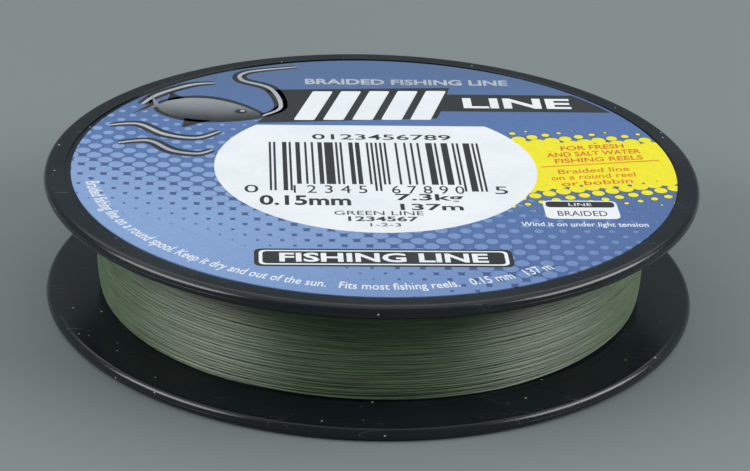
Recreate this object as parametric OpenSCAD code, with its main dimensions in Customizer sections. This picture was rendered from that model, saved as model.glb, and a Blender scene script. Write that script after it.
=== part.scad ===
// Retail fishing line spool, lying on its lower flange.
// Origin: centre of the face it rests on. +Z: the spool's axis. +X: the reading direction of the upper label.
// Two identical flanges snap onto the ends of one drum; the braided line is wound between them.

/* [Flanges] */
// Outer diameter of each flange
flange_d = 76; // [74:1:90]
// Thickness of a flange at its rim
flange_t = 1.6; // [1.4:0.1:2.4]
// Width of the whole spool over both flanges
spool_w = 15.8; // [15.2:0.2:22]
// Rounding of the rim's two edges, as a share of the flange's thickness; 0.5 is a full round
rim_round_share = 0.48; // [0.2:0.02:0.48]

/* [Drum] */
// Outer diameter of the drum that the line is wound on
drum_d = 52; // [44:1:56]
// Thickness of the drum's wall
drum_wall = 1.6; // [1.2:0.1:2]
// Diameter of the spindle bore
bore_d = 12.7; // [8:0.1:13.5]
// Thickness of the spindle tube's wall
tube_wall = 1.65; // [1.2:0.05:2.5]
// Number of ribs on each side of the drum's web
rib_count = 6; // [3:3:12]

/* [Line] */
// Outer diameter of the wound line, at the middle of its width
winding_d = 64.2; // [58:0.1:68]
// How much less the winding's radius is where it meets the flanges
winding_drop = 0.45; // [0:0.05:0.8]

/* [Labels and tapes] */
// Diameter of each label
label_d = 70.5; // [60:0.5:72]
// Thickness of the label stock
label_t = 0.12; // [0.1:0.01:0.16]
// Depth of the recess that a label lies in
recess_depth = 0.2; // [0.18:0.01:0.3]
// Diameter of the hole in the lower label
lower_label_hole_d = 14; // [13:0.5:16]
// Thickness of the adhesive tapes
tape_t = 0.08; // [0.05:0.01:0.12]

/* [Hidden] */
$fn = 96;

plastic = "#1c2022";
moss = "#4d6046";
label_blue = "#5f83c4";
tape_white = "#d9dcd8";

fit_gap = 0.05;     // clearance of the snapped joints, on the radius and along the axis
merge = 0.1;        // how far a feature runs into the wall that it grows from
overcut = 1;        // how far a cutting shape runs past the face that it cuts
round_fn = 180;     // facets of the large round parts
rim_fn = 32;        // facets of a rim's rounding

flange_r = flange_d / 2;
rim_round = rim_round_share * flange_t;
label_gap = 0.35;   // between a label's edge and the wall of its recess
recess_r = label_d / 2 + label_gap;
inner_w = spool_w - 2 * flange_t;
mid_z = spool_w / 2;

drum_r = drum_d / 2;
drum_inner_r = drum_r - drum_wall;
bore_r = bore_d / 2;
tube_r = bore_r + tube_wall;
web_t = 1.2;
rib_t = 1.0;

// The spigot ring of a flange stands inside the drum's wall, and its hooks catch in the drum's windows.
spigot_h = 2.4;
spigot_t = 1.5;
spigot_r = drum_inner_r - fit_gap;
collar_h = 1.6;
collar_t = 1.5;
collar_r = tube_r + fit_gap;
hooks = 3;
hook_w = 6;
hook_t = 1.25;
hook_face = sqrt(pow(spigot_r, 2) - pow(hook_w / 2, 2)) - fit_gap;
hook_len = (inner_w - web_t) / 2 - 2 * fit_gap;
nose_h = 2.2;                   // height of a hook's nose, its slope included
nose_flat = 0.6;                // straight part of that height
catch_depth = hook_len - nose_h;    // distance from the flange to the catching edge
catch_reach = 1.1;              // how far a hook's nose stands out
window_w = hook_w + 0.6;        // with play on both sides of the hook

winding_r = winding_d / 2;
starter_arc = 36;
starter_w = 8;
end_tape_arc = 24;
end_tape_w = 8;

// Half-profile of a flange: the line side at y = 0 and the outer side at y = flange_t.
module flange_profile() {
    difference() {
        union() {
            square([flange_r - rim_round, flange_t]);
            translate([0, rim_round])
                square([flange_r, flange_t - 2 * rim_round]);
            for (y = [rim_round, flange_t - rim_round])
                translate([flange_r - rim_round, y])
                    circle(r = rim_round, $fn = rim_fn);
        }
        translate([-overcut, flange_t - recess_depth])
            square([recess_r + overcut, recess_depth + overcut]);
        translate([-overcut, -overcut])
            square([collar_r + overcut, flange_t + 2 * overcut]);
    }
}

// A ring between two radii, from z0 up to z1.
module ring(inner, outer, z0, z1) {
    translate([0, 0, z0])
        difference() {
            cylinder(r = outer, h = z1 - z0);
            translate([0, 0, -overcut])
                cylinder(r = inner, h = z1 - z0 + 2 * overcut);
        }
}

// One snap hook, hanging from the line side of a flange, with a sloped nose.
module snap_hook() {
    rotate([90, 0, 0])
        linear_extrude(height = hook_w, center = true)
            polygon([
                [hook_face - hook_t, merge],
                [hook_face, merge],
                [hook_face, -catch_depth],
                [hook_face + catch_reach, -catch_depth],
                [hook_face + catch_reach, -catch_depth - nose_flat],
                [hook_face, -hook_len],
                [hook_face - hook_t, -hook_len]
            ]);
}

// A whole flange with its line side on z = 0, facing down.
module flange() {
    union() {
        rotate_extrude($fn = round_fn)
            flange_profile();
        ring(spigot_r - spigot_t, spigot_r, -spigot_h, merge);
        ring(collar_r, collar_r + collar_t, -collar_h, merge);
        for (k = [0 : hooks - 1])
            rotate([0, 0, k * 360 / hooks])
                snap_hook();
    }
}

// An upright piece of tape bent round the axis, centred on the direction +Y.
module bent_tape(inner, arc, width) {
    translate([0, 0, mid_z - width / 2])
        rotate([0, 0, 90 - arc / 2])
            rotate_extrude(angle = arc, $fn = round_fn)
                translate([inner, 0])
                    square([tape_t, width]);
}

module upper_flange() {
    color(plastic)
        translate([0, 0, spool_w - flange_t])
            flange();
}

// The same moulding, turned over and turned half a hook's spacing.
module lower_flange() {
    color(plastic)
        translate([0, 0, flange_t])
            rotate([180, 0, 180 / hooks])
                flange();
}

// A window for a hook's nose, given the height of its middle.
module hook_window(angle, z) {
    rotate([0, 0, angle])
        translate([drum_r, 0, z])
            cube([4 * drum_wall, window_w, hook_len - catch_depth + 2 * fit_gap], center = true);
}

module drum() {
    catch_mid = (catch_depth + hook_len) / 2;
    color(plastic)
        difference() {
            union() {
                ring(drum_inner_r, drum_r, flange_t, spool_w - flange_t);
                ring(bore_r, tube_r, recess_depth, spool_w - recess_depth);
                ring(bore_r, drum_inner_r + merge, mid_z - web_t / 2, mid_z + web_t / 2);
                for (k = [0 : rib_count - 1])
                    rotate([0, 0, (k + 0.5) * 360 / rib_count])
                        translate([tube_r - merge, -rib_t / 2, flange_t + spigot_h + 2 * fit_gap])
                            cube([
                                drum_inner_r - tube_r + 2 * merge, rib_t,
                                inner_w - 2 * spigot_h - 4 * fit_gap
                            ]);
            }
            for (k = [0 : hooks - 1]) {
                hook_window(k * 360 / hooks, spool_w - flange_t - catch_mid);
                hook_window((k + 0.5) * 360 / hooks, flange_t + catch_mid);
            }
        }
}

// The wound line, rounded off towards the flanges, with a pocket where it passes over the starter tape.
module line_winding() {
    steps = 12;
    crown = [
        for (k = [0 : steps])
            let (u = 2 * k / steps - 1)
            [winding_r - winding_drop * pow(u, 4), flange_t + inner_w * k / steps]
    ];
    color(moss)
        difference() {
            rotate_extrude($fn = round_fn)
                polygon(concat([[drum_r, flange_t]], crown, [[drum_r, spool_w - flange_t]]));
            bent_tape(drum_r - merge, starter_arc, starter_w);
            bent_tape(drum_r, starter_arc, starter_w);
        }
}

module starter_tape() {
    color(tape_white)
        bent_tape(drum_r, starter_arc, starter_w);
}

// The tab that holds the line's free end down, on the outside of the winding at the back.
module end_tape() {
    color(tape_white)
        bent_tape(winding_r, end_tape_arc, end_tape_w);
}

module upper_label() {
    color(label_blue)
        translate([0, 0, spool_w - recess_depth])
            cylinder(d = label_d, h = label_t, $fn = round_fn);
}

module lower_label() {
    color(label_blue)
        ring(lower_label_hole_d / 2, label_d / 2, recess_depth - label_t, recess_depth);
}

lower_flange();
upper_flange();
drum();
line_winding();
starter_tape();
end_tape();
lower_label();
upper_label();
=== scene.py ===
import math
import random

import bmesh
import bpy
import numpy as np
from mathutils import Matrix, Vector


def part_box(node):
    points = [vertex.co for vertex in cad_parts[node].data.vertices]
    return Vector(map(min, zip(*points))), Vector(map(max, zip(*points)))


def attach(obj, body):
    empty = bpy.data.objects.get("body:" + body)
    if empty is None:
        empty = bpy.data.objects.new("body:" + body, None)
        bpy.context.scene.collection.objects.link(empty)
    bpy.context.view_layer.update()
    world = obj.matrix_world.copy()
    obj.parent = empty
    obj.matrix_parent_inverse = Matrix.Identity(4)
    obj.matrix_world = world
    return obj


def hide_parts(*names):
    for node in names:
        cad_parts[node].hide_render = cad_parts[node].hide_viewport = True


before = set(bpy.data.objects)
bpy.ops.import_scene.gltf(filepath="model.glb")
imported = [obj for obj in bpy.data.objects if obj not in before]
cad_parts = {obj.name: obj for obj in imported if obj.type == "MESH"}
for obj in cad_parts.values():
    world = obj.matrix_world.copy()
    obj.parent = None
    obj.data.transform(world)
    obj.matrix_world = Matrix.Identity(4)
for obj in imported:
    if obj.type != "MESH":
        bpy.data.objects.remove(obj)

# A retail spool of braided fishing line, lying on its lower flange. Lengths are in metres; MM turns
# millimetres into metres. The origin is the centre of the face that the spool rests on, and +Z is its axis.
MM = 0.001
TURN = 2 * math.pi
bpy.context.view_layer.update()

# ---------------------------------------------------------------- sizes, from the frame
FLANGE_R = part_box("upper_flange")[1].x
SPOOL_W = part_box("upper_flange")[1].z
WINDING_LOW, WINDING_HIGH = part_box("line_winding")
FLANGE_T = WINDING_LOW.z
INNER_W = WINDING_HIGH.z - WINDING_LOW.z
MID_Z = (WINDING_HIGH.z + WINDING_LOW.z) / 2
WINDING_R = WINDING_HIGH.x
DRUM_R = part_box("drum")[1].x
LABEL_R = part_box("upper_label")[1].x
LABEL_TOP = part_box("upper_label")[1].z
LABEL_T = LABEL_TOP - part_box("upper_label")[0].z
LOWER_LABEL_LOW, LOWER_LABEL_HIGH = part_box("lower_label")
TAPE_HALF_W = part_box("end_tape")[1].x

# Sizes of the mouldings, which repeat the CAD model's.
RECESS_DEPTH = 0.2 * MM
RECESS_R = LABEL_R + 0.35 * MM
RIM_ROUND = 0.48 * FLANGE_T
LIP_ROUND = 0.06 * MM          # rounding of the edge of the label's recess
SPIGOT_R = 24.35 * MM
SPIGOT_T = 1.5 * MM
SPIGOT_H = 2.4 * MM
COLLAR_R = 8.05 * MM
COLLAR_T = 1.5 * MM
COLLAR_H = 1.6 * MM
HOOKS = 3
HOOK_W = 6 * MM
HOOK_T = 1.25 * MM
HOOK_FACE = 24.11 * MM
HOOK_LEN = 5.6 * MM
HOOK_NOSE = 2.2 * MM
HOOK_NOSE_FLAT = 0.6 * MM
HOOK_REACH = 1.1 * MM
HOOK_MERGE = 0.1 * MM          # how far a hook runs into its flange
WINDING_DROP = 0.45 * MM
LOWER_HOLE_R = 7 * MM


# ---------------------------------------------------------------- materials
class Term:
    """A number in a node tree, so that a pattern can be written as a formula."""

    def __init__(self, nodes, socket):
        self.nodes = nodes
        self.socket = socket

    def __add__(self, other):
        return self.nodes.math("ADD", self, other)

    def __sub__(self, other):
        return self.nodes.math("SUBTRACT", self, other)

    def __rsub__(self, other):
        return self.nodes.math("SUBTRACT", other, self)

    def __mul__(self, other):
        return self.nodes.math("MULTIPLY", self, other)

    __radd__ = __add__


class Nodes:
    """The node tree of one material."""

    def __init__(self, name):
        self.material = bpy.data.materials.new(name)
        self.material.use_nodes = True
        self.tree = self.material.node_tree
        self.shader = self.tree.nodes["Principled BSDF"]
        self.place = self.node("ShaderNodeTexCoord").outputs["Object"]

    def node(self, kind, inputs=None, **settings):
        made = self.tree.nodes.new(kind)
        for key, value in settings.items():
            setattr(made, key, value)
        for key, value in (inputs or {}).items():
            self.feed(made.inputs[key], value)
        return made

    def feed(self, socket, value):
        if isinstance(value, Term):
            value = value.socket
        if isinstance(value, bpy.types.NodeSocket):
            self.tree.links.new(value, socket)
        else:
            socket.default_value = value

    def set(self, **inputs):
        """Feeds the shader's own sockets; an underscore in a name stands for a space."""
        for key, value in inputs.items():
            self.feed(self.shader.inputs[key.replace("_", " ")], value)

    def math(self, operation, a, b=0.0):
        made = self.node("ShaderNodeMath", {0: a, 1: b}, operation=operation)
        return Term(self, made.outputs[0])

    def axes(self, vector=None):
        """The three numbers of a vector, which is by default the place on the object in millimetres."""
        split = self.node("ShaderNodeSeparateXYZ", {0: vector or self.place})
        scale = 1.0 if vector else 1.0 / MM
        return [Term(self, out) * scale for out in split.outputs]

    def vector(self, x, y, z):
        return self.node("ShaderNodeCombineXYZ", {"X": x, "Y": y, "Z": z}).outputs[0]

    def noise(self, scale, detail=2.0, rough=0.5, vector=None):
        """Noise from 0 to 1. Without a vector, scale is in features per metre."""
        inputs = {"Vector": vector or self.place, "Scale": scale, "Detail": detail, "Roughness": rough}
        return Term(self, self.node("ShaderNodeTexNoise", inputs).outputs["Fac"])

    def step(self, value, low, high):
        """0 at low and below, 1 at high and above, and smooth between; low may be above high."""
        inputs = {"Value": value, "From Min": low, "From Max": high}
        made = self.node("ShaderNodeMapRange", inputs, interpolation_type="SMOOTHSTEP")
        return Term(self, made.outputs[0])

    def mix(self, share, a, b):
        """Colour a where share is 0 and colour b where it is 1."""
        made = self.node("ShaderNodeMix", data_type="RGBA")
        for socket, value in ((made.inputs[0], share), (made.inputs[6], a), (made.inputs[7], b)):
            self.feed(socket, value)
        return made.outputs[2]

    def bump(self, height, distance, strength=1.0):
        inputs = {"Height": height, "Distance": distance, "Strength": strength}
        self.set(Normal=self.node("ShaderNodeBump", inputs).outputs[0])


def rgb(red, green, blue):
    """A colour for a shader, from its 0 to 255 values on screen."""
    channels = [value / 255 for value in (red, green, blue)]
    linear = [c / 12.92 if c <= 0.04045 else ((c + 0.055) / 1.055) ** 2.4 for c in channels]
    return (*linear, 1.0)


def specks(nodes, per_metre, largest, share):
    """1 on round specks in that share of the cells; their largest radius is given in cells."""
    cells = nodes.node("ShaderNodeTexVoronoi", {"Vector": nodes.place, "Scale": per_metre})
    lots = nodes.node("ShaderNodeSeparateColor", {0: cells.outputs["Color"]})
    chosen = nodes.step(Term(nodes, lots.outputs[0]), 1 - share, 1.0)
    size = chosen * largest
    return nodes.step(size - Term(nodes, cells.outputs["Distance"]), 0.0, 0.04)


def scratches(nodes, angle, density, width):
    """1 along fine, broken, nearly straight scratches that run at one angle across the object."""
    turned = nodes.node("ShaderNodeMapping", {"Vector": nodes.place, "Rotation": (0, 0, angle)})
    turned.inputs["Scale"].default_value = (density * 0.06, density, density * 0.4)
    lines = nodes.noise(1.0, 1.0, 0.4, turned.outputs[0])
    broken = nodes.step(nodes.noise(180.0, 2.0), 0.52, 0.66)
    return nodes.step(nodes.math("ABSOLUTE", lines - 0.5), width, 0.0) * broken


def black_plastic():
    """Glossy moulded black plastic, lightly dusty, with fine scuffs."""
    n = Nodes("black_plastic")
    dust = n.math("MAXIMUM", specks(n, 420.0, 0.085, 0.24), specks(n, 900.0, 0.14, 0.22))
    haze = n.step(n.noise(60.0, 4.0, 0.6), 0.45, 0.85)
    scuffs = n.math("MAXIMUM", scratches(n, 0.5, 1400.0, 0.006), scratches(n, 2.2, 1100.0, 0.005))
    clean = n.mix(haze, rgb(19, 25, 29), rgb(28, 35, 40))
    worn = n.mix(scuffs * 0.35, clean, rgb(92, 98, 102))
    n.set(Base_Color=n.mix(dust * 0.8, worn, rgb(176, 178, 172)))
    n.set(Roughness=0.2 + haze * 0.1 + scuffs * 0.25 + dust * 0.4, Specular_IOR_Level=0.5)
    n.bump(n.noise(900.0, 3.0) * 0.3 + n.noise(25.0) - scuffs * 0.4, 0.02 * MM, 0.25)
    return n.material


def nearest_dot(n, x, y, angle, pitch, row):
    """Distance in mm to the nearest point of a staggered lattice that is turned by an angle."""
    along = x * math.cos(angle) + y * math.sin(angle)
    across = y * math.cos(angle) - x * math.sin(angle)

    def from_grid(shift_x, shift_y):
        across_cell = n.math("WRAP", along + shift_x, pitch / 2)
        up_cell = n.math("WRAP", across + shift_y, row)
        for wrapped, half in ((across_cell, pitch / 2), (up_cell, row)):
            wrapped.socket.node.inputs[2].default_value = -half
        return n.math("SQRT", across_cell * across_cell + up_cell * up_cell)

    return n.math("MINIMUM", from_grid(0.0, 0.0), from_grid(pitch / 2, row))


DOT_PITCH, DOT_ROW = 2.7, 1.4      # mm, of the halftone's staggered rows
DOT_EDGE = 0.05                    # mm, softness of a printed dot's edge


def print_grain(n):
    """The coarse grain of an offset print, from 0 to 1."""
    return n.noise(5200.0, 2.0, 0.7) * 0.6 + n.noise(1500.0, 2.0, 0.6) * 0.4


def printed_blue(name, with_splash):
    """Coated blue label with a halftone of lighter dots that grow towards its lower left corner."""
    n = Nodes(name)
    x, y, _ = n.axes()
    size = 0.33 - x * 0.0195 - y * 0.029
    lattice = nearest_dot(n, x, y, 0.0, DOT_PITCH, DOT_ROW)
    dots = n.step(size - lattice, -DOT_EDGE, DOT_EDGE)
    merging = n.step(size, 0.72, 1.02)
    halo = n.step(lattice - size, 0.28, 0.0) * n.step(size, 0.1, 0.95)
    sky = n.mix(n.step(y, 4.0, 34.0), rgb(86, 119, 176), rgb(86, 112, 152))
    shaded = n.mix(n.step(x - y, 8.0, 60.0) * 0.6, sky, rgb(72, 98, 146))
    ground = n.mix(n.math("MAXIMUM", halo * 0.6, merging * 0.75), shaded, rgb(52, 72, 116))
    light_dot = n.mix(n.step(x - y, -10.0, 55.0), rgb(136, 166, 212), rgb(112, 140, 190))
    colour = n.mix(dots, ground, light_dot)
    if with_splash:
        colour = splash(n, x, y, colour)
    grain = print_grain(n)
    n.set(Base_Color=n.mix(n.step(grain, 0.3, 0.7) * 0.16, colour, rgb(40, 52, 92)))
    n.set(Roughness=0.34 + grain * 0.12, Specular_IOR_Level=0.45, Coat_Weight=0.12, Coat_Roughness=0.18)
    n.bump(grain * 0.4 + n.noise(45.0) * 2.0, 0.01 * MM, 0.3)
    return n.material


def splash(n, x, y, under):
    """A yellow field at the right of the label, which breaks up into dots above and below."""
    above = (12.3 - y - x * 0.02) * 0.27
    below = (y + 15.0 - x * 0.1) * 0.15
    inward = (x - 11.0) * 0.4
    size = n.math("MINIMUM", n.math("MINIMUM", above, below), inward)
    lattice = nearest_dot(n, x, y, math.radians(-25), DOT_PITCH * 0.93, DOT_ROW * 0.93)
    field = n.step(size - lattice, -DOT_EDGE, DOT_EDGE)
    edged = n.mix(n.step(size - lattice, -0.3, 0.0) * 0.7, under, rgb(50, 62, 66))
    return n.mix(field, edged, rgb(250, 238, 8))


def ink(name, colour, second, rough=0.4):
    """A flat printed ink, slightly uneven between two colours."""
    n = Nodes(name)
    grain = print_grain(n)
    cloud = n.step(n.noise(120.0, 3.0), 0.3, 0.7)
    n.set(Base_Color=n.mix(n.step(grain + cloud * 0.3, 0.35, 0.95), colour, second))
    n.set(Roughness=rough + grain * 0.1, Specular_IOR_Level=0.45)
    n.bump(grain, 0.006 * MM, 0.25)
    return n.material


def emblem_grey():
    """Silver-grey print, shaded from a light back to a dark belly with a fine scale pattern."""
    n = Nodes("emblem_grey")
    x, y, _ = n.axes()
    scales = nearest_dot(n, x, y, 0.3, 0.9, 0.45)
    shade = n.step(y + n.noise(200.0) * 2.0, 14.5, 23.0)
    lit = n.mix(shade, rgb(34, 38, 42), rgb(150, 155, 160))
    n.set(Base_Color=n.mix(n.step(scales, 0.3, 0.44) * 0.4, lit, rgb(40, 44, 50)))
    n.set(Roughness=0.38 + print_grain(n) * 0.1)
    n.bump(print_grain(n), 0.006 * MM, 0.25)
    return n.material


def braided_line():
    """Waxy moss-green braid, with a painted sheen of pale glints along its fibres. A strand's UV map runs
    along it in millimetres and once round it.
    """
    n = Nodes("braided_line")
    along, around, _ = n.axes(n.node("ShaderNodeTexCoord").outputs["UV"])
    x, y, z = n.axes()
    turned = n.math("ARCTAN2", y, x) * 10.0
    streak = n.noise(1.0, 3.0, 0.6, n.vector(turned * 0.5, z * 3.4, 0.0))
    patch = n.noise(1.0, 2.0, 0.5, n.vector(turned * 0.35, z * 0.35, 4.0))
    fibre = n.noise(1.0, 3.0, 0.6, n.vector(along * 0.6, around * 7.0, z * 0.4))
    plait = n.math("SINE", (along * 1.6 + around) * TURN) * n.math("SINE", (along * 1.6 - around) * TURN)
    deep = n.mix(n.step(streak, 0.3, 0.72), rgb(48, 66, 37), rgb(92, 113, 74))
    tinted = n.mix(n.step(patch, 0.35, 0.7) * 0.35, deep, rgb(78, 104, 62))
    # Painted sheen: pale glints mixed into the colour along the strands' fibres.
    fibre_glinted = n.mix(n.step(fibre, 0.5, 0.85) * 0.3, tinted, rgb(150, 162, 134))
    n.set(Base_Color=n.mix(n.step(plait, 0.2, 0.9) * 0.1, fibre_glinted, rgb(40, 54, 34)))
    n.set(Roughness=0.38 + fibre * 0.16, Specular_IOR_Level=0.8, Coat_Weight=0.3, Coat_Roughness=0.4)
    n.bump(plait * 0.2 + fibre * 0.7, 0.03 * MM, 0.35)
    return n.material


def film_tape():
    """Milky adhesive film with faint fibres and a dull surface."""
    n = Nodes("film_tape")
    x, _, z = n.axes()
    fibres = n.noise(1.0, 3.0, 0.6, n.vector(x * 0.3, 0.0, z * 4.0))
    n.set(Base_Color=n.mix(n.step(fibres, 0.35, 0.7), rgb(206, 210, 204), rgb(226, 228, 222)))
    n.set(Roughness=0.45 + fibres * 0.2)
    n.bump(fibres, 0.01 * MM, 0.4)
    return n.material


def backdrop_paper():
    """Plain pale grey-green backdrop paper."""
    n = Nodes("backdrop_paper")
    mottle = n.noise(8.0, 3.0)
    n.set(Base_Color=n.mix(mottle, rgb(120, 128, 128), rgb(124, 132, 132)), Roughness=0.8)
    n.bump(n.noise(1200.0, 2.0), 0.02 * MM, 0.1)
    return n.material


PLASTIC = black_plastic()
UPPER_BLUE = printed_blue("upper_label_print", True)
LOWER_BLUE = printed_blue("lower_label_print", False)
WHITE_INK = ink("white_ink", rgb(238, 241, 243), rgb(228, 232, 235))
BLACK_INK = ink("black_ink", rgb(30, 33, 34), rgb(46, 49, 50))
ORANGE_INK = ink("orange_ink", rgb(206, 96, 34), rgb(222, 122, 36))
GREY_INK = ink("grey_ink", rgb(156, 162, 170), rgb(190, 194, 200))
EMBLEM = emblem_grey()
BRAID = braided_line()
TAPE = film_tape()


# ---------------------------------------------------------------- mesh helpers
SHARP = math.radians(38)


def add_piece(name, mesh, material, slot, *replaced):
    """Makes an object of a mesh, shades it smooth up to its sharp edges, and rides it on the body."""
    mesh.polygons.foreach_set("use_smooth", [True] * len(mesh.polygons))
    mesh.set_sharp_from_angle(angle=SHARP)
    mesh.materials.append(material)
    piece = bpy.data.objects.new(name, mesh)
    bpy.context.scene.collection.objects.link(piece)
    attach(piece, "root")
    if replaced:
        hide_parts(*replaced)


def from_bmesh(name, bm, material, slot, *replaced):
    bmesh.ops.recalc_face_normals(bm, faces=bm.faces)
    mesh = bpy.data.meshes.new(name)
    bm.to_mesh(mesh)
    bm.free()
    add_piece(name, mesh, material, slot, *replaced)


def arc(centre, radius, start, end, steps):
    """Points on an arc, from one angle in degrees to another."""
    angles = [math.radians(start + (end - start) * k / steps) for k in range(steps + 1)]
    return [(centre[0] + radius * math.cos(a), centre[1] + radius * math.sin(a)) for a in angles]


def circle(centre, radius, steps):
    return arc(centre, radius, 0, 360, steps)[:-1]


def lathe(bm, profile, steps, place=Matrix.Identity(4)):
    """Turns a closed outline of (radius, height) points once round the axis."""
    rings = []
    for k in range(steps):
        angle = TURN * k / steps
        points = [Vector((r * math.cos(angle), r * math.sin(angle), z)) for r, z in profile]
        rings.append([bm.verts.new(place @ point) for point in points])
    for k in range(steps):
        near, far = rings[k], rings[(k + 1) % steps]
        for i in range(len(profile)):
            j = (i + 1) % len(profile)
            bm.faces.new((near[i], far[i], far[j], near[j]))


def prism(bm, outline, low, high, place=Matrix.Identity(4)):
    """A closed block on an outline in the XY plane, from one height to another."""
    bottom = [bm.verts.new(place @ Vector((x, y, low))) for x, y in outline]
    top = [bm.verts.new(place @ Vector((x, y, high))) for x, y in outline]
    bm.faces.new(bottom)
    bm.faces.new(reversed(top))
    for i in range(len(outline)):
        j = (i + 1) % len(outline)
        bm.faces.new((bottom[j], bottom[i], top[i], top[j]))


# ---------------------------------------------------------------- flanges
RIM_STEPS = 360
ROUND_STEPS = 12
PARTING_RIDGE = 0.03 * MM      # how far the mould's parting line stands out of the rim
PARTING_HALF = 0.05 * MM       # half of its width
PARTING_Z = FLANGE_T / 2       # its height over the line side
ROUND_END = 12                 # degrees from the horizontal where the rounding stops beside it


def flange_profile():
    """Half-profile of a flange, with its line side at height 0 and its outer side up."""
    wall = FLANGE_R - PARTING_RIDGE
    outer = arc((wall - RIM_ROUND, FLANGE_T - RIM_ROUND), RIM_ROUND, 90, ROUND_END, ROUND_STEPS)
    inner = arc((wall - RIM_ROUND, RIM_ROUND), RIM_ROUND, -ROUND_END, -90, ROUND_STEPS)
    ridge = [(wall, PARTING_Z + PARTING_HALF), (FLANGE_R, PARTING_Z), (wall, PARTING_Z - PARTING_HALF)]
    floor = FLANGE_T - RECESS_DEPTH
    lip = arc((RECESS_R + LIP_ROUND, FLANGE_T - LIP_ROUND), LIP_ROUND, 180, 90, 4)
    spigot_inner = SPIGOT_R - SPIGOT_T
    spigot = [(SPIGOT_R, 0), (SPIGOT_R, -SPIGOT_H), (spigot_inner, -SPIGOT_H), (spigot_inner, 0)]
    collar_outer = COLLAR_R + COLLAR_T
    collar = [(collar_outer, 0), (collar_outer, -COLLAR_H), (COLLAR_R, -COLLAR_H)]
    return [(COLLAR_R, floor), (RECESS_R, floor), *lip, *outer, *ridge, *inner, *spigot, *collar]


def add_hooks(bm, place):
    """The snap hooks, which hang from the line side and catch in the drum's windows."""
    back = HOOK_FACE - HOOK_T
    catch = HOOK_LEN - HOOK_NOSE
    outline = [
        (back, HOOK_MERGE), (HOOK_FACE, HOOK_MERGE), (HOOK_FACE, -catch),
        (HOOK_FACE + HOOK_REACH, -catch), (HOOK_FACE + HOOK_REACH, -catch - HOOK_NOSE_FLAT),
        (HOOK_FACE, -HOOK_LEN), (back, -HOOK_LEN),
    ]
    upright = Matrix.Rotation(math.radians(90), 4, "X")
    for k in range(HOOKS):
        turned = place @ Matrix.Rotation(TURN * k / HOOKS, 4, "Z") @ upright
        prism(bm, outline, -HOOK_W / 2, HOOK_W / 2, turned)


def build_flange(name, node, place):
    bm = bmesh.new()
    lathe(bm, flange_profile(), RIM_STEPS, place)
    add_hooks(bm, place)
    from_bmesh(name, bm, PLASTIC, "black_plastic", node)


def build_flanges():
    raised = Matrix.Translation((0, 0, SPOOL_W - FLANGE_T))
    turned_over = Matrix.Rotation(math.pi, 4, "X")
    half_step = Matrix.Rotation(math.pi / HOOKS, 4, "Z")
    lowered = Matrix.Translation((0, 0, FLANGE_T)) @ half_step @ turned_over
    build_flange("upper_flange_moulding", "upper_flange", raised)
    build_flange("lower_flange_moulding", "lower_flange", lowered)


# ---------------------------------------------------------------- the wound line
STRAND_R = 0.15 * MM
STRAND_SIDES = 6
STEPS_PER_TURN = 84
EDGE_GAP = 0.02 * MM           # between the line and a flange
LINE_SEED = 11

CORE_SIDES = 240
CORE_STEPS = 16                # of its height
CORE_GAP = 0.1 * MM            # between the core and the drum
BASE_TURNS = 41
TRAVERSES = 42
TRAVERSE_TURNS = (2.3, 6.3)    # fewest and most turns in one pass from flange to flange
TRAVERSE_SWAY = 0.24           # unevenness of a pass, as a share of the width

# Depths under the winding's surface, the strands' down to their middles.
CORE_DEPTH = 2.6 * STRAND_R
BASE_DEPTH = 1.6 * STRAND_R
FIRST_PASS_DEPTH = 1.3 * STRAND_R      # more than the last pass lies
LAST_PASS_DEPTH = STRAND_R + 0.02 * MM
LEAST_DEPTH = STRAND_R + 0.01 * MM


def crown(z):
    """Outer radius of the winding at a height: it rounds off towards the flanges."""
    off_middle = 2 * (z - MID_Z) / INNER_W
    return WINDING_R - WINDING_DROP * off_middle ** 4


def sweep(name, angle, radius, height):
    """One closed round strand along a path given by its angle, radius and height arrays."""
    count = len(angle)
    around = np.arange(STRAND_SIDES) * TURN / STRAND_SIDES
    spread = radius[:, None] + STRAND_R * np.cos(around)
    x = spread * np.cos(angle)[:, None]
    y = spread * np.sin(angle)[:, None]
    z = height[:, None] + STRAND_R * np.sin(around)
    points = np.stack([x, y, z], axis=-1).reshape(-1, 3)
    i = np.arange(count - 1)[:, None] * STRAND_SIDES
    j = np.arange(STRAND_SIDES)[None, :]
    k = (j + 1) % STRAND_SIDES
    corners = np.broadcast_arrays(i + j, i + STRAND_SIDES + j, i + STRAND_SIDES + k, i + k)
    quads = np.stack(corners, axis=-1)
    faces = quads.reshape(-1, 4).tolist()
    faces.append(list(range(STRAND_SIDES)))
    faces.append([(count - 1) * STRAND_SIDES + m for m in reversed(range(STRAND_SIDES))])
    mesh = bpy.data.meshes.new(name)
    mesh.from_pydata(points.tolist(), [], faces)
    length = np.concatenate([[0], np.cumsum(radius[1:] * np.diff(angle))]) / MM
    lay_out_strand(mesh, length, count)
    add_piece(name, mesh, BRAID, "braided_line")


def lay_out_strand(mesh, length, count):
    """A UV map that runs along the strand in millimetres and once round it."""
    near, far = length[:-1], length[1:]
    along = np.repeat(np.stack([near, far, far, near], axis=-1), STRAND_SIDES, axis=0)
    share = np.arange(STRAND_SIDES) / STRAND_SIDES
    next_share = share + 1 / STRAND_SIDES
    round_it = np.tile(np.stack([share, share, next_share, next_share], axis=-1), (count - 1, 1))
    sides = np.stack([along, round_it], axis=-1).reshape(-1, 2)
    caps = np.zeros((2 * STRAND_SIDES, 2))
    layer = mesh.uv_layers.new(name="strand")
    layer.data.foreach_set("uv", np.concatenate([sides, caps]).astype(np.float32).ravel())


def wobble(rng, angle, size, waves):
    """A smooth small deviation along a path."""
    total = np.zeros_like(angle)
    for k in range(waves):
        total += np.sin(angle * rng.uniform(0.3, 2.4) + rng.uniform(0, TURN)) / waves
    return total * size


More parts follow.
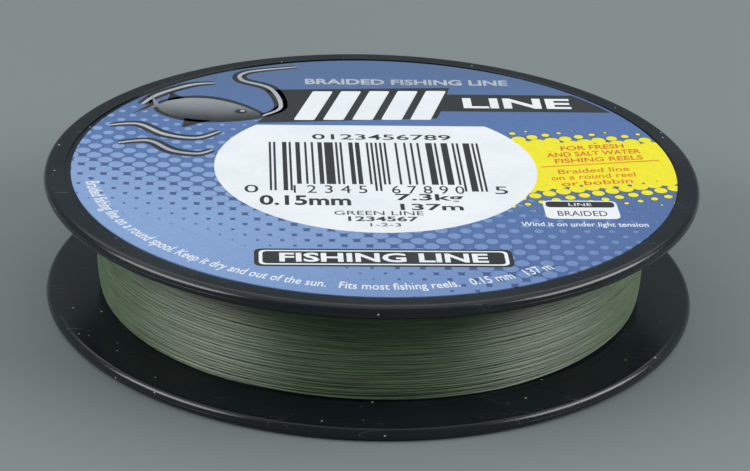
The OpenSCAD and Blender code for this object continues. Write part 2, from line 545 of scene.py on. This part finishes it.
def build_core():
    """The body of the winding, under its visible strands."""
    heights = [WINDING_LOW.z + INNER_W * k / CORE_STEPS for k in range(CORE_STEPS + 1)]
    outside = [(crown(z) - CORE_DEPTH, z) for z in heights]
    inner = DRUM_R + CORE_GAP
    bm = bmesh.new()
    lathe(bm, [(inner, WINDING_LOW.z), *outside, (inner, WINDING_HIGH.z)], CORE_SIDES)
    from_bmesh("line_core", bm, BRAID, "braided_line", "line_winding")


def build_base_layer(rng):
    """A close-wound layer, each turn beside the last."""
    span = INNER_W - 2 * (STRAND_R + EDGE_GAP)
    share = np.linspace(0, 1, BASE_TURNS * STEPS_PER_TURN + 1)
    angle = share * BASE_TURNS * TURN
    height = WINDING_LOW.z + STRAND_R + EDGE_GAP + share * span
    radius = crown(height) - BASE_DEPTH + wobble(rng, angle, 0.03 * MM, 5)
    sweep("line_under_layer", angle, radius, height)


def traverse_heights(rng, turns_each):
    """Height of the line over every turn, as the winder carries it from flange to flange and back."""
    low, high = WINDING_LOW.z + STRAND_R + EDGE_GAP, WINDING_HIGH.z - STRAND_R - EDGE_GAP
    passes = []
    for k, turns in enumerate(turns_each):
        share = np.linspace(0, 1, int(turns * STEPS_PER_TURN), endpoint=False)
        sway = TRAVERSE_SWAY * np.sin(TURN * share + rng.uniform(0, TURN)) * share * (1 - share)
        risen = share + sway
        passes.append(low + (high - low) * (risen if k % 2 == 0 else 1 - risen))
    return np.clip(np.concatenate(passes), low, high)


def build_top_layers(rng):
    """The outer passes of the line, crossing one another at a small angle and ending under the tape."""
    turns_each = [rng.uniform(*TRAVERSE_TURNS) for _ in range(TRAVERSES)]
    height = traverse_heights(rng, turns_each)
    angle = np.arange(len(height)) * TURN / STEPS_PER_TURN
    final_angle = math.radians(90) - TAPE_HALF_W / WINDING_R * 0.5
    angle += final_angle - angle[-1]
    passed = np.linspace(0, 1, len(height))
    depth = FIRST_PASS_DEPTH * (1 - passed) ** 1.1 + LAST_PASS_DEPTH
    radius = crown(height) - depth + wobble(rng, angle, 0.02 * MM, 4)
    sweep("line_outer_passes", angle, np.minimum(radius, WINDING_R - LEAST_DEPTH), height)


def build_winding():
    rng = random.Random(LINE_SEED)
    build_core()
    build_base_layer(rng)
    build_top_layers(rng)


# ---------------------------------------------------------------- flat printed shapes
INK_LAYER = 0.008 * MM         # each ink layer stands this much over the one below it
INK_SUNK = 0.02 * MM           # and starts this far inside the label
WELD = 1e-5                    # letters' points closer than this, in letter heights, become one


class Sheet:
    """A label's printed side. Shapes are given in millimetres, as read with the label facing the viewer."""

    def __init__(self, level, facing_up):
        self.level = level
        self.side = 1 if facing_up else -1

    def shape(self, bm, outline, layer):
        """One flat closed shape in an ink layer."""
        points = [(self.side * x * MM, y * MM) for x, y in outline]
        start = self.level - self.side * INK_SUNK
        prism(bm, points, start, self.level + self.side * layer * INK_LAYER)

    def text(self, bm, body, left, right, low, high, layer, weight=0.0, bend=None):
        """Plain lettering stretched to fill a box, whose points a function may then move."""
        curve = bpy.data.curves.new("lettering", "FONT")
        curve.body = body
        curve.offset = weight
        curve.resolution_u = 3
        maker = bpy.data.objects.new("lettering", curve)
        bpy.context.scene.collection.objects.link(maker)
        flat = bmesh.new()
        flat.from_mesh(maker.to_mesh())
        maker.to_mesh_clear()
        bpy.data.objects.remove(maker)
        xs = [v.co.x for v in flat.verts]
        ys = [v.co.y for v in flat.verts]
        bmesh.ops.remove_doubles(flat, verts=flat.verts, dist=WELD)
        first_x, first_y = min(xs), min(ys)
        stretch_x = (right - left) / (max(xs) - first_x)
        stretch_y = (high - low) / (max(ys) - first_y)
        for v in flat.verts:
            x = left + (v.co.x - first_x) * stretch_x
            y = low + (v.co.y - first_y) * stretch_y
            if bend:
                x, y = bend(x, y)
            v.co = (self.side * x * MM, y * MM, self.level - self.side * INK_SUNK)
        grown = bmesh.ops.extrude_face_region(flat, geom=flat.faces[:])
        raised = [v for v in grown["geom"] if isinstance(v, bmesh.types.BMVert)]
        lift = self.side * (INK_SUNK + layer * INK_LAYER)
        bmesh.ops.translate(flat, verts=raised, vec=(0, 0, lift))
        made = bpy.data.meshes.new("lettering")
        flat.to_mesh(made)
        flat.free()
        bm.from_mesh(made)
        bpy.data.meshes.remove(made)


def box_outline(left, low, right, high, slant=0.0):
    """A rectangle, or with a slant a parallelogram whose top leans to the right by that much."""
    return [(left, low), (right, low), (right + slant, high), (left + slant, high)]


def rounded(outline, radius, steps=5):
    """The outline with each corner rounded off."""
    made = []
    count = len(outline)
    for k in range(count):
        corner, before, after = Vector(outline[k]), Vector(outline[k - 1]), Vector(outline[(k + 1) % count])
        to_before, to_after = (before - corner).normalized(), (after - corner).normalized()
        reach = min(radius, (before - corner).length * 0.45, (after - corner).length * 0.45)
        start, end = corner + to_before * reach, corner + to_after * reach
        for i in range(steps + 1):
            t = i / steps
            point = start * (1 - t) ** 2 + corner * 2 * t * (1 - t) + end * t ** 2
            made.append((point.x, point.y))
    return made


def stroke(points, widths, steps=24):
    """Outline of a tapering stroke along a smooth curve through the points."""
    knots = [Vector(points[0]), *[Vector(p) for p in points], Vector(points[-1])]
    line, half = [], []
    for k in range(len(points) - 1):
        a, b, c, d = knots[k:k + 4]
        is_last = k == len(points) - 2
        for i in range(steps + 1 if is_last else steps):
            t = i / steps
            line.append(0.5 * ((2 * b) + (c - a) * t + (2 * a - 5 * b + 4 * c - d) * t ** 2
                               + (3 * b - a - 3 * c + d) * t ** 3))
            half.append(0.5 * (widths[k] * (1 - t) + widths[k + 1] * t))
    left, right = [], []
    for i, point in enumerate(line):
        along = (line[min(i + 1, len(line) - 1)] - line[max(i - 1, 0)]).normalized()
        aside = Vector((-along.y, along.x)) * half[i]
        left.append(tuple(point + aside))
        right.append(tuple(point - aside))
    return left + right[::-1]


def climbing(left, rise):
    """Bends a row of letters so that it climbs to the right of a point."""
    return lambda x, y: (x, y + rise * (x - left))


def round_edge(radius):
    """Bends a row of letters round the label's centre; x is then an angle in degrees."""

    def bend(x, y):
        angle = math.radians(x)
        return ((radius - y) * math.cos(angle), (radius - y) * math.sin(angle))

    return bend


# ---------------------------------------------------------------- the upper label
LABEL_ASIDE = 0.25 * MM        # the label was stuck this much off the spool's centre
LABEL_TRIM = 0.1 * MM          # and its edge is cut this much under its full size

# The layout of the print, in millimetres from the spool's axis.
PANEL_CENTRE, PANEL_R, PANEL_TOP = (0.4, -0.1), 18.8, 12.65
SMALL_PRINT_R = 33.9           # of the foot of the curved row of words
BARS_LEFT, BARS_RIGHT = -12.0, 12.9
BARS_TOP, BARS_LOW, GUARDS_LOW = 7.2, -5.4, -7.3
DUMMY_CODE = "012345678905"
CODE_MODULES = 95              # width of the whole code in its narrowest bars
# Widths of each digit's two bars and two gaps.
DIGIT_BARS = ["3211", "2221", "2122", "1411", "1132", "1231", "1114", "1312", "1213", "3112"]


def code_bars(code):
    """(start, width, is_long) in modules for each dark bar of a 12-digit retail code."""
    digits = [(DIGIT_BARS[int(digit)], place in (0, 11)) for place, digit in enumerate(code)]
    side, middle = ("111", True), ("11111", True)
    bars, at, is_dark = [], 0, True
    for widths, is_long in [side, *digits[:6], middle, *digits[6:], side]:
        for width in map(int, widths):
            if is_dark:
                bars.append((at, width, is_long))
            at += width
            is_dark = not is_dark
    return bars


def panel_outline(grow=0.0):
    """A circle cut straight across its top."""
    radius = PANEL_R + grow
    start = math.degrees(math.asin((PANEL_TOP - PANEL_CENTRE[1]) / radius))
    return arc(PANEL_CENTRE, radius, 180 - start, 360 + start, 90)


def print_panel(sheet, white, black):
    """White panel with a dummy barcode, the line's measures and dummy numbers."""
    sheet.shape(white, panel_outline(), 1)
    module = (BARS_RIGHT - BARS_LEFT) / CODE_MODULES
    for start, width, is_long in code_bars(DUMMY_CODE):
        left = BARS_LEFT + start * module
        low = GUARDS_LOW if is_long else BARS_LOW
        sheet.shape(black, box_outline(left, low, left + width * module, BARS_TOP), 2)
    low, high = -8.0, -5.8
    sheet.text(black, DUMMY_CODE[0], -14.9, -13.3, low, high, 2)
    sheet.text(black, " ".join(DUMMY_CODE[1:6]), -9.3, -0.9, low, high, 2)
    sheet.text(black, " ".join(DUMMY_CODE[6:11]), 1.9, 10.2, low, high, 2)
    sheet.text(black, DUMMY_CODE[11], 13.7, 15.2, low, high, 2)
    sheet.text(black, "0.15mm", -13.2, -2.9, -11.5, -8.7, 2, 0.025)
    sheet.text(black, "7.3kg", 2.2, 9.9, -10.5, -8.1, 2, 0.02)
    sheet.text(black, "137m", 2.6, 9.7, -12.7, -10.9, 2, 0.02)
    sheet.text(black, "0123456789", -6.8, 9.8, 8.1, 9.8, 2, 0.01)
    sheet.text(black, "GREEN LINE", -4.9, 5.1, -14.1, -13.0, 2)
    sheet.text(black, "1234567", -3.4, 4.4, -15.8, -14.5, 2, 0.02)
    sheet.text(black, "1-2-3", -1.0, 2.4, -17.2, -16.3, 2)


def print_banner(sheet, white, black):
    """Black banner at the top with plain slanted stripes and a generic word."""
    rim = LABEL_R / MM - 0.25
    top, low = 23.3, 17.6
    ends = [math.asin(low / rim), math.asin(top / rim)]
    band_end = arc((0, 0), rim, math.degrees(ends[0]), math.degrees(ends[1]), 8)
    block = [
        (10.4, top), (10.9, 25.6), (-12.2, 24.4), (-10.0, 20.9), (-13.3, 13.3), (8.6, 15.2), (9.3, low)
    ]
    sheet.shape(black, [*band_end, *block], 1)
    for k in range(5):
        left = -8.9 + 3.55 * k
        low_edge = 14.3 + 0.1 * k
        outline = box_outline(left, low_edge, left + 2.5, 24.0 + 0.12 * k, 2.6)
        sheet.shape(white, rounded(outline, 0.3, 3), 2)
    sheet.text(white, "LINE", 12.2, 25.6, 18.7, 22.1, 2, 0.03)


def print_splash(sheet, orange):
    """Rows of orange words on the yellow field, on each side of a thin rule."""
    rows = [
        ("FOR FRESH", 22.7, 30.4, 5.1, 0.02), ("AND SALT WATER", 20.8, 32.2, 3.0, 0.02),
        ("FISHING REELS", 21.6, 32.2, 1.2, 0.02), ("Braided line", 21.6, 30.1, -2.0, 0.01),
        ("on a round reel", 20.6, 30.6, -3.9, 0.01), ("or bobbin", 21.6, 30.0, -5.6, 0.01),
    ]
    for words, left, right, low, weight in rows:
        sheet.text(orange, words, left, right, low, low + 1.35, 1, weight, climbing(left, 0.14))
    sheet.shape(orange, [(19.8, 0.0), (34.0, 2.3), (34.0, 2.55), (19.8, 0.2)], 1)


def print_tag(sheet, white, black):
    """A plain white tag with rounded corners and a black heading, and a line of white words under it."""
    sheet.shape(white, rounded(box_outline(18.8, -14.8, 27.2, -9.7), 1.0), 1)
    sheet.shape(black, rounded(box_outline(19.1, -11.6, 26.9, -10.0), 0.6), 2)
    sheet.text(white, "LINE", 21.7, 24.3, -11.2, -10.4, 3)
    sheet.text(black, "BRAIDED", 20.2, 25.8, -14.0, -12.6, 2)
    sheet.text(white, "Wind it on under light tension", 15.8, 30.0, -17.2, -15.7, 1, 0.01)


def print_nameplate(sheet, white, black):
    """Black plate with rounded corners and a white keyline, holding a generic name."""
    sheet.shape(black, rounded(box_outline(-13.9, -27.7, 14.0, -23.2), 1.0), 1)
    sheet.shape(white, rounded(box_outline(-13.4, -27.3, 13.5, -23.6), 0.8), 2)
    sheet.shape(black, rounded(box_outline(-13.0, -27.0, 13.1, -23.9), 0.6), 3)
    sheet.text(white, "FISHING LINE", -11.2, 11.3, -26.6, -24.3, 4, 0.03)


def print_small_print(sheet, white, grey):
    """White words that follow the label's lower edge, and a row of them at the top."""
    words = "Braided fishing line on a round spool. Keep it dry and out of the sun.   "
    more = "Fits most fishing reels.   0.15 mm   137 m"
    start, end = 189.0, 303.0
    sheet.text(white, words + more, start, end, 0.0, 2.1, 1, 0.006, round_edge(SMALL_PRINT_R))
    sheet.text(grey, "BRAIDED FISHING LINE", -7.2, 18.4, 26.5, 28.4, 1, 0.03)


def fish_outline(centre, length, height, tilt):
    """A plain fish seen from the side, head to the right."""
    steps, blunt = 24, 0.12
    back = [(t, math.sin(math.pi * t ** 0.8) ** 0.8) for t in [k / steps for k in range(steps + 1)]]
    upper = [((t - 0.5) * length, 0.5 * height * (h + blunt)) for t, h in back]
    lower = [((t - 0.5) * length, -0.5 * height * (0.85 * h + blunt)) for t, h in reversed(back)]
    tail = [(-0.62 * length, -0.4 * height), (-0.54 * length, 0.0), (-0.62 * length, 0.4 * height)]
    turned = Matrix.Rotation(math.radians(tilt), 2)
    points = [turned @ Vector(p) for p in lower + tail + upper]
    return [(p.x + centre[0], p.y + centre[1]) for p in points]


def print_emblem(sheet, grey, black, silver):
    """A plain fish with a looping line and ripples, printed in greys."""
    centre, tilt = (-19.2, 17.2), -14
    fins = [[(-21.4, 20.2), (-24.0, 23.4), (-24.4, 19.4)], [(-18.0, 14.6), (-22.4, 11.4), (-22.0, 15.4)]]
    for fin in fins:
        sheet.shape(black, rounded(fin, 0.7), 1)
    sheet.shape(black, fish_outline(centre, 14.0, 8.4, tilt), 1)
    sheet.shape(silver, fish_outline(centre, 12.8, 6.8, tilt), 2)
    sheet.shape(black, circle((-15.3, 16.9), 0.75, 20), 3)
    sheet.shape(grey, circle((-15.1, 17.1), 0.3, 16), 4)
    curves = [
        [(-12.6, 15.6), (-10.4, 18.6), (-11.6, 24.8), (-15.2, 27.8), (-14.4, 30.6), (-8.2, 32.6)],
        [(-31.0, 12.2), (-27.6, 12.6), (-24.4, 9.4), (-20.6, 8.3), (-17.8, 10.4)],
        [(-29.8, 6.6), (-26.2, 7.3), (-23.4, 4.3), (-20.4, 3.4), (-18.6, 4.6)],
        [(-27.4, 19.2), (-25.4, 22.6), (-21.6, 25.8), (-18.6, 26.6)],
    ]
    for curve in curves:
        thick = [0.7 + 1.3 * math.sin(math.pi * (k + 0.6) / len(curve)) for k in range(len(curve))]
        sheet.shape(black, stroke(curve, thick), 1)
        sheet.shape(grey, stroke(curve, [0.3 * w for w in thick]), 2)


def build_upper_label():
    bm = bmesh.new()
    edge = circle((LABEL_ASIDE, 0), LABEL_R - LABEL_TRIM, RIM_STEPS)
    prism(bm, edge, LABEL_TOP - LABEL_T, LABEL_TOP)
    from_bmesh("upper_label_sheet", bm, UPPER_BLUE, "printed_label", "upper_label")
    sheet = Sheet(LABEL_TOP, True)
    white, black, orange, grey, silver = (bmesh.new() for _ in range(5))
    print_panel(sheet, white, black)
    print_banner(sheet, white, black)
    print_splash(sheet, orange)
    print_tag(sheet, white, black)
    print_nameplate(sheet, white, black)
    print_small_print(sheet, white, grey)
    print_emblem(sheet, grey, black, silver)
    from_bmesh("upper_white_print", white, WHITE_INK, "printed_label")
    from_bmesh("upper_black_print", black, BLACK_INK, "printed_label")
    from_bmesh("upper_orange_print", orange, ORANGE_INK, "printed_label")
    from_bmesh("upper_grey_print", grey, GREY_INK, "printed_label")
    from_bmesh("upper_emblem_print", silver, EMBLEM, "printed_label")


# ---------------------------------------------------------------- the lower label
def build_lower_label():
    """A plainer printed ring round the spindle hole."""
    low, high = LOWER_LABEL_LOW.z, LOWER_LABEL_HIGH.z
    bm = bmesh.new()
    ring = [(LOWER_HOLE_R, low), (LABEL_R, low), (LABEL_R, high), (LOWER_HOLE_R, high)]
    lathe(bm, ring, RIM_STEPS)
    from_bmesh("lower_label_sheet", bm, LOWER_BLUE, "printed_label", "lower_label")
    sheet = Sheet(low, False)
    white, black = bmesh.new(), bmesh.new()
    sheet.shape(white, rounded(box_outline(-20, -26, 20, -11), 2.0), 1)
    rows = [
        "Braided fishing line", "Keep it dry and out of the sun", "Wind it on under light tension",
        "Wipe it dry after use", "0.15 mm   7.3 kg   137 m",
    ]
    left, letter_w, letter_h, row_pitch = -17.5, 1.12, 1.6, 2.6
    for row, words in enumerate(rows):
        foot = -14.6 - row_pitch * row
        sheet.text(black, words, left, left + letter_w * len(words), foot, foot + letter_h, 2)
    sheet.shape(black, rounded(box_outline(-17, 13.5, 17, 21), 1.2), 1)
    sheet.text(white, "FISHING LINE", -14.5, 14.5, 15.6, 18.9, 2, 0.02)
    sheet.text(white, "BRAIDED LINE", -10.0, 10.0, 23.5, 25.1, 1)
    from_bmesh("lower_white_print", white, WHITE_INK, "printed_label")
    from_bmesh("lower_black_print", black, BLACK_INK, "printed_label")


# ---------------------------------------------------------------- carried-over CAD nodes
def finish_cad_nodes():
    finishes = {"drum": PLASTIC, "starter_tape": TAPE, "end_tape": TAPE}
    for node, material in finishes.items():
        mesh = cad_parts[node].data
        mesh.materials.clear()
        mesh.materials.append(material)


# ---------------------------------------------------------------- floor, lights and camera
LABEL_TURN = math.radians(3.5)     # the label is turned this much, seen from the camera
CAMERA_PITCH = math.radians(24.27)
CAMERA_ROLL = math.radians(1.785)
CAMERA_ASIDE, CAMERA_BACK, CAMERA_UP = 0.00056, 0.27397, 0.1146     # from the centre of the upper face
CAMERA_LENS = 122.35


FLOOR_REACH, FLOOR_T = 3.0, 0.01

SPOOL_CENTRE = (0, 0, SPOOL_W / 2)
WIDE = math.pi
# Name, place, aim, size, power in watts and spread of each light.
SOFTBOXES = [
    ("overhead_softbox", (0.0, 0.19, 0.5), (0.0, 0.19, 0.0), (1.1, 0.8), 1.7, WIDE),
    ("left_softbox", (-0.44, -0.11, 0.29), SPOOL_CENTRE, (0.4, 0.19), 1.65, WIDE),
    ("right_softbox", (0.45, -0.09, 0.29), SPOOL_CENTRE, (0.46, 0.19), 2.0, WIDE),
    ("backdrop_light", (0.0, 0.6, 0.5), (0.0, 0.5, 0.0), (1.2, 0.3), 0.6, 1.7),
]
AMBIENT_COLOUR, AMBIENT_STRENGTH = rgb(138, 149, 156), 0.62


def build_floor():
    bm = bmesh.new()
    prism(bm, box_outline(-FLOOR_REACH, -FLOOR_REACH, FLOOR_REACH, FLOOR_REACH), -FLOOR_T, 0.0)
    mesh = bpy.data.meshes.new("floor")
    bm.to_mesh(mesh)
    bm.free()
    mesh.materials.append(backdrop_paper())
    floor = bpy.data.objects.new("floor", mesh)
    bpy.context.scene.collection.objects.link(floor)


def add_softbox(name, place, aim, size, watts, spread):
    light = bpy.data.lights.new(name, "AREA")
    light.shape = "RECTANGLE"
    light.size, light.size_y = size
    light.energy = watts
    light.spread = spread
    box = bpy.data.objects.new(name, light)
    box.location = place
    box.rotation_euler = (Vector(aim) - Vector(place)).to_track_quat("-Z", "Y").to_euler()
    bpy.context.scene.collection.objects.link(box)


def build_lights():
    for box in SOFTBOXES:
        add_softbox(*box)
    world = bpy.data.worlds.new("studio")
    world.use_nodes = True
    back = world.node_tree.nodes["Background"]
    back.inputs["Color"].default_value = AMBIENT_COLOUR
    back.inputs["Strength"].default_value = AMBIENT_STRENGTH
    bpy.context.scene.world = world


def build_camera():
    """The camera stands in front of the spool and looks down on it, slightly rolled."""
    heading = Matrix.Rotation(-LABEL_TURN, 3, "Z")
    right = heading @ Vector((1, 0, 0))
    forward = heading @ Vector((0, math.cos(CAMERA_PITCH), -math.sin(CAMERA_PITCH)))
    level_up = right.cross(forward)
    roll_cos, roll_sin = math.cos(CAMERA_ROLL), math.sin(CAMERA_ROLL)
    side = right * roll_cos + level_up * roll_sin
    up = level_up * roll_cos - right * roll_sin
    data = bpy.data.cameras.new("camera")
    data.lens = CAMERA_LENS
    camera = bpy.data.objects.new("camera", data)
    turned = Matrix((side, up, -forward)).transposed().to_4x4()
    place = heading @ Vector((CAMERA_ASIDE, -CAMERA_BACK, CAMERA_UP)) + Vector((0, 0, SPOOL_W))
    camera.matrix_world = Matrix.Translation(place) @ turned
    bpy.context.scene.collection.objects.link(camera)
    bpy.context.scene.camera = camera


build_camera()
build_floor()
build_lights()
build_flanges()
build_winding()
build_upper_label()
build_lower_label()
finish_cad_nodes()
bpy.context.scene.view_settings.view_transform = "Standard"
